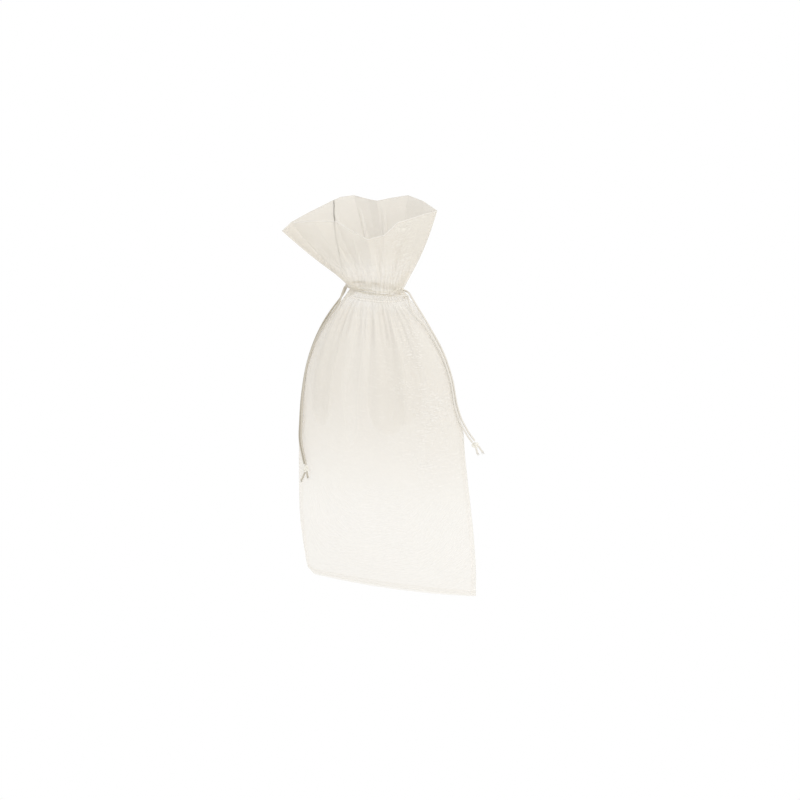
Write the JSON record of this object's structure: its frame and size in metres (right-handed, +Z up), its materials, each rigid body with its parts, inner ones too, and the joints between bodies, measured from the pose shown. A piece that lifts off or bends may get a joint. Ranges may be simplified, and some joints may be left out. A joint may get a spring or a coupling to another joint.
{
  "type": "drawstring gift pouch",
  "caption": "Tall sheer organza pouch, gathered at the neck by satin drawstrings, with a flared ruffle above.",
  "frame": {"origin": "middle of the cord channel at the gathered neck, where the pouch is held", "axes": "+X across the width to the right, +Y from the front panel to the back panel, +Z up towards the rim"},
  "size_m": [0.1619, 0.0706, 0.3582],
  "materials": {
    "organza": "sheer, soft sheen",
    "seam": "folded organza",
    "thread": "matt polyester thread",
    "cord": "satin cord"
  },
  "bodies": {
    "pouch": {"front_panel": "organza", "back_panel": "organza", "front_facing": "organza", "back_facing": "organza", "left_side_seam": "seam", "right_side_seam": "seam", "left_ruffle_seam": "seam", "right_ruffle_seam": "seam", "bottom_seam": "seam", "upper_stitches_front": "thread", "upper_stitches_back": "thread", "lower_stitches_front": "thread", "lower_stitches_back": "thread", "left_drawstring_loop": "cord", "right_drawstring_loop": "cord"},
    "left_draw": {"left_tuck_front": "cord", "left_tuck_back": "cord"},
    "left_cord": {"left_strand_front": "cord", "left_strand_back": "cord", "left_knot": "cord", "left_tail_1": "cord", "left_tail_2": "cord"},
    "right_draw": {"right_tuck_front": "cord", "right_tuck_back": "cord"},
    "right_cord": {"right_strand_front": "cord", "right_strand_back": "cord", "right_knot": "cord", "right_tail_1": "cord", "right_tail_2": "cord"}
  },
  "joints": [
    {"name": "left_cord_draw", "type": "slide", "parent": "pouch", "child": "left_draw", "axis": [-1, 0, 0], "range_m": [0, 0.012]},
    {"name": "left_cord_swing", "type": "hinge", "parent": "left_draw", "child": "left_cord", "pos_m": [-0.025, 0, 0.0013], "axis": [0, 1, 0], "range_deg": [0, 65]},
    {"name": "right_cord_draw", "type": "slide", "parent": "pouch", "child": "right_draw", "axis": [1, 0, 0], "range_m": [0, 0.012]},
    {"name": "right_cord_swing", "type": "hinge", "parent": "right_draw", "child": "right_cord", "pos_m": [0.025, 0, -0.0013], "axis": [0, -1, 0], "range_deg": [0, 65]}
  ]
}
